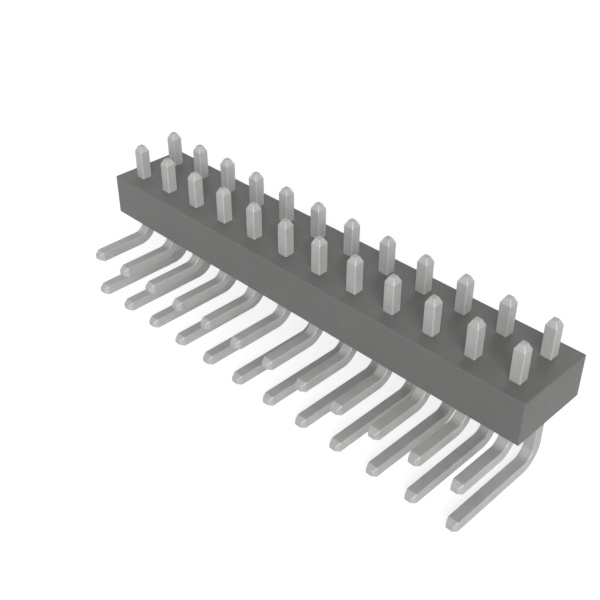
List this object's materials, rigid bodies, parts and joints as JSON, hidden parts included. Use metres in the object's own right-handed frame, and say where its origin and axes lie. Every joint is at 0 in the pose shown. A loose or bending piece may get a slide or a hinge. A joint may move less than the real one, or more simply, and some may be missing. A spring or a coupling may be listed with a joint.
{
  "type": "right-angle pin header",
  "caption": "Right-angle board header: a plain rectangular insulator holding two rows of bent square pins with pointed ends, for soldering to a circuit board.",
  "frame": {"origin": "centre of the insulator face that seats on the circuit board", "axes": "+X along the rows, -Y out of the board-seating face into the board, +Z out of the mating side, the way the straight ends of the pins point"},
  "size_m": [0.0304, 0.008, 0.0092],
  "materials": {
    "insulator": "dark grey moulded glass-filled polyester, matt",
    "pins": "matt tin plating over drawn square wire"
  },
  "bodies": {
    "root": {"insulator": "insulator", "front_pin_01": "pins", "front_pin_02": "pins", "front_pin_03": "pins", "front_pin_04": "pins", "front_pin_05": "pins", "front_pin_06": "pins", "front_pin_07": "pins", "front_pin_08": "pins", "front_pin_09": "pins", "front_pin_10": "pins", "front_pin_11": "pins", "front_pin_12": "pins", "back_pin_01": "pins", "back_pin_02": "pins", "back_pin_03": "pins", "back_pin_04": "pins", "back_pin_05": "pins", "back_pin_06": "pins", "back_pin_07": "pins", "back_pin_08": "pins", "back_pin_09": "pins", "back_pin_10": "pins", "back_pin_11": "pins", "back_pin_12": "pins"}
  },
  "joints": []
}
